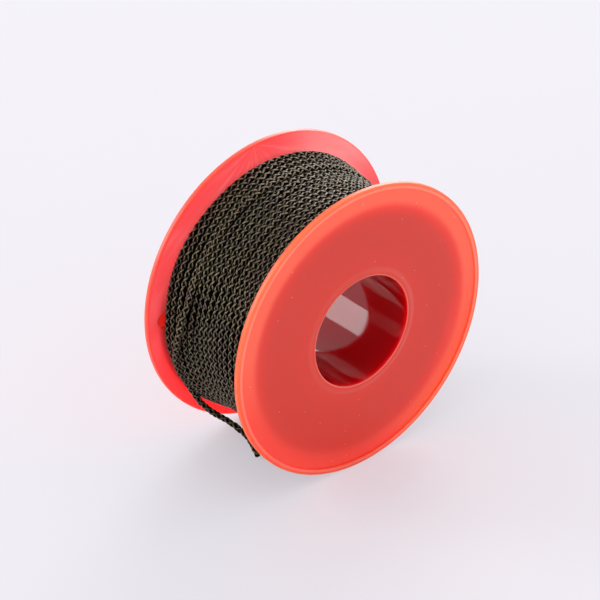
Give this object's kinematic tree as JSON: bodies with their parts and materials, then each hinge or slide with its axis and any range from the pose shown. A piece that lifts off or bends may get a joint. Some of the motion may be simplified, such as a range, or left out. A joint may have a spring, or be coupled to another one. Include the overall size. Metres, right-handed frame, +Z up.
{
  "type": "line spool",
  "caption": "Small flanged spool of braided fishing line: a bored barrel, thin round flanges with a rim bead, and dark line wound between them with its free end loose.",
  "frame": {"origin": "on the floor under the middle of the spool, halfway between the flanges", "axes": "+X along the spool axis towards the front flange, +Z up; the loose end of the line comes off on the -Y side"},
  "size_m": [0.0284, 0.06, 0.06],
  "materials": {
    "spool_red": "gloss",
    "braided_line": "matte"
  },
  "bodies": {
    "root": {"barrel": "spool_red", "front_flange": "spool_red", "rear_flange": "spool_red", "line_inner_layers": "braided_line", "line_outer_layer": "braided_line", "line_tail": "braided_line"}
  },
  "joints": []
}
